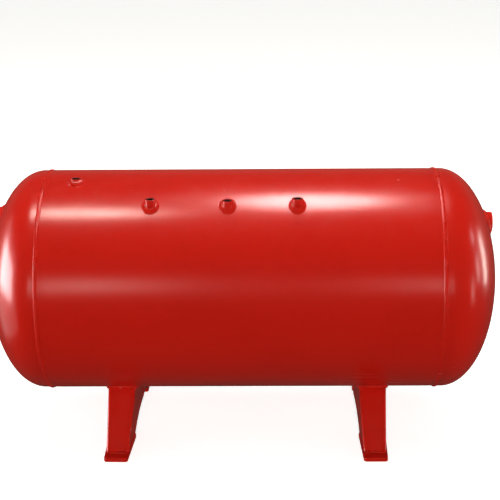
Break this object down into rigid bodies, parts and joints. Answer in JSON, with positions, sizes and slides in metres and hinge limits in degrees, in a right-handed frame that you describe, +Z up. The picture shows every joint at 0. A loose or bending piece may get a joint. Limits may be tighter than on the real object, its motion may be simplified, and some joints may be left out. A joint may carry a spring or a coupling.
{
  "type": "air receiver tank",
  "caption": "Horizontal welded steel air receiver with dished heads, threaded sockets and folded saddle legs, in glossy red enamel.",
  "frame": {"origin": "on the floor, under the middle of the tank", "axes": "+X along the tank, -Y the side the top sockets lean towards, +Z up"},
  "size_m": [1.034, 0.4542, 0.5372],
  "materials": {
    "red_enamel": "gloss",
    "mill_steel": "matte"
  },
  "bodies": {
    "root": {"shell": "red_enamel", "long_seam_weld": "red_enamel", "left_head": "red_enamel", "left_girth_weld": "red_enamel", "left_backing_ring": "mill_steel", "right_head": "red_enamel", "right_girth_weld": "red_enamel", "right_backing_ring": "mill_steel", "service_socket": "red_enamel", "service_socket_weld": "red_enamel", "gauge_socket": "red_enamel", "gauge_socket_weld": "red_enamel", "switch_socket": "red_enamel", "switch_socket_weld": "red_enamel", "relief_socket": "red_enamel", "relief_socket_weld": "red_enamel", "drain_socket": "red_enamel", "drain_socket_weld": "red_enamel", "left_end_socket": "red_enamel", "left_end_socket_weld": "red_enamel", "right_end_socket": "red_enamel", "right_end_socket_weld": "red_enamel", "left_front_leg": "red_enamel", "left_front_leg_weld": "red_enamel", "left_front_sole": "red_enamel", "left_front_sole_weld": "red_enamel", "left_rear_leg": "red_enamel", "left_rear_leg_weld": "red_enamel", "left_rear_sole": "red_enamel", "left_rear_sole_weld": "red_enamel", "left_left_join_weld": "red_enamel", "left_right_join_weld": "red_enamel", "right_front_leg": "red_enamel", "right_front_leg_weld": "red_enamel", "right_front_sole": "red_enamel", "right_front_sole_weld": "red_enamel", "right_rear_leg": "red_enamel", "right_rear_leg_weld": "red_enamel", "right_rear_sole": "red_enamel", "right_rear_sole_weld": "red_enamel", "right_left_join_weld": "red_enamel", "right_right_join_weld": "red_enamel"}
  },
  "joints": []
}
